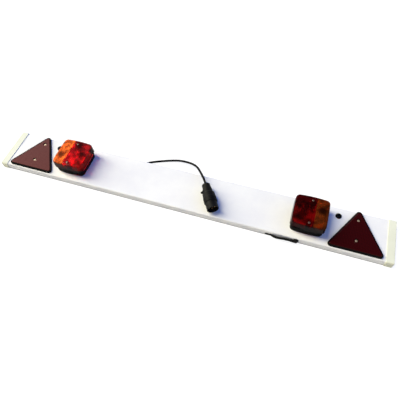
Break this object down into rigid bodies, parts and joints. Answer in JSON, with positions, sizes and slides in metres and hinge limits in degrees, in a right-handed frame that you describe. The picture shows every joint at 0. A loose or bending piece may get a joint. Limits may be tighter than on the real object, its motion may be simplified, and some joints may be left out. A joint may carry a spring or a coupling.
{
  "type": "trailer lighting board",
  "caption": "White channel board lying face up, with handed rear lamps, triangular reflectors, lashing holes, end caps and a trailing cable that ends in a road-trailer plug.",
  "frame": {"origin": "on the floor, under the middle of the board, which lies face up on its end caps", "axes": "+X along the board to the right lamp, +Y to its upper edge in use, +Z out of its face"},
  "size_m": [1.22, 0.1908, 0.0711],
  "materials": {
    "white_plastic": "satin extruded plastic",
    "cream_plastic": "moulded, slightly yellowed",
    "black_rubber": "matt rubber",
    "black_plastic": "fine moulded texture",
    "reflector_red": "prismatic reflector",
    "clear_plastic": "clear moulding",
    "lens_amber": "fluted amber lens",
    "lens_red": "fluted red lens",
    "bright_steel": "bright plated",
    "plated_steel": "zinc plated",
    "lamp_white": "white inner plate",
    "brass": "plain brass",
    "bulb_glass": "clear glass",
    "black_cable": "smooth cable sheath",
    "black_strap": "reusable strap",
    "white_clip": "moulded clip"
  },
  "bodies": {
    "root": {"board": "white_plastic", "bulb_plate_left": "lamp_white", "bulb_plate_right": "lamp_white", "cord_front_run": "black_cable", "cord_hank": "black_cable", "cord_plug_run": "black_cable", "end_cap_left": "cream_plastic", "end_cap_right": "cream_plastic", "entry_grommets": "black_rubber", "exit_boot": "black_rubber", "hank_ties": "black_strap", "indicator_bulb_cap_left": "brass", "indicator_bulb_cap_right": "brass", "indicator_bulb_glass_left": "bulb_glass", "indicator_bulb_glass_right": "bulb_glass", "indicator_holder_left": "plated_steel", "indicator_holder_right": "plated_steel", "lamp_base_left": "black_plastic", "lamp_base_right": "black_plastic", "lamp_bolts": "plated_steel", "lamp_lead": "black_cable", "lamp_nuts": "plated_steel", "lamp_washers": "plated_steel", "lashing_grommet_left": "black_rubber", "lashing_grommet_right": "black_rubber", "lens_amber_left": "lens_amber", "lens_amber_right": "lens_amber", "lens_gasket_left": "black_rubber", "lens_gasket_right": "black_rubber", "lens_red_left": "lens_red", "lens_red_right": "lens_red", "lens_screws": "bright_steel", "link_clips": "white_clip", "link_lead": "black_cable", "plate_window_left": "clear_plastic", "plate_window_right": "clear_plastic", "plug_body": "black_plastic", "plug_contacts": "brass", "plug_cover": "black_plastic", "plug_gland_nut": "black_plastic", "plug_insert": "black_plastic", "reflector_lens_left": "reflector_red", "reflector_lens_right": "reflector_red", "reflector_nuts": "plated_steel", "reflector_screws": "bright_steel", "reflector_tray_left": "black_plastic", "reflector_tray_right": "black_plastic", "reflector_washers": "plated_steel", "stop_bulb_cap_left": "brass", "stop_bulb_cap_right": "brass", "stop_bulb_glass_left": "bulb_glass", "stop_bulb_glass_right": "bulb_glass", "stop_holder_left": "plated_steel", "stop_holder_right": "plated_steel"}
  },
  "joints": []
}
